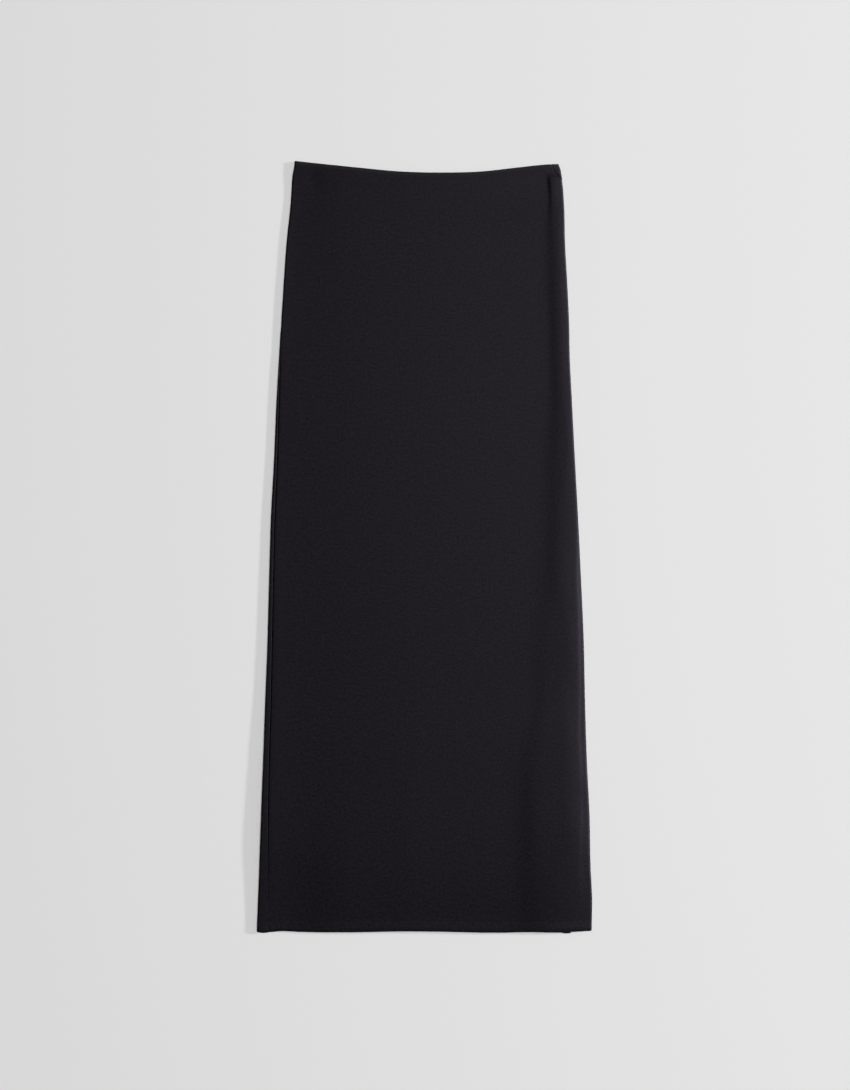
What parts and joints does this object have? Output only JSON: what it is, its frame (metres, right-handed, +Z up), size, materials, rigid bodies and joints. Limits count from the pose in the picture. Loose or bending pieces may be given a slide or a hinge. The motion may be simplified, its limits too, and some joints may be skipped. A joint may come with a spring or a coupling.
{
  "type": "maxi skirt",
  "caption": "Long pull-on tube skirt of black stretch knit, laid flat front up, with a turned-in waist edge and a turned-up hem.",
  "frame": {"origin": "on the surface that the skirt lies on, under the middle of its outline", "axes": "+Y from the hem towards the waist, +X to the right of the laid skirt as its front is looked at, +Z up out of the front"},
  "size_m": [0.4258, 0.9803, 0.0067],
  "materials": {
    "black_knit": "matt fine stretch knit with a faint sheen"
  },
  "bodies": {
    "root": {"front_panel": "black_knit", "back_panel": "black_knit"}
  },
  "joints": []
}
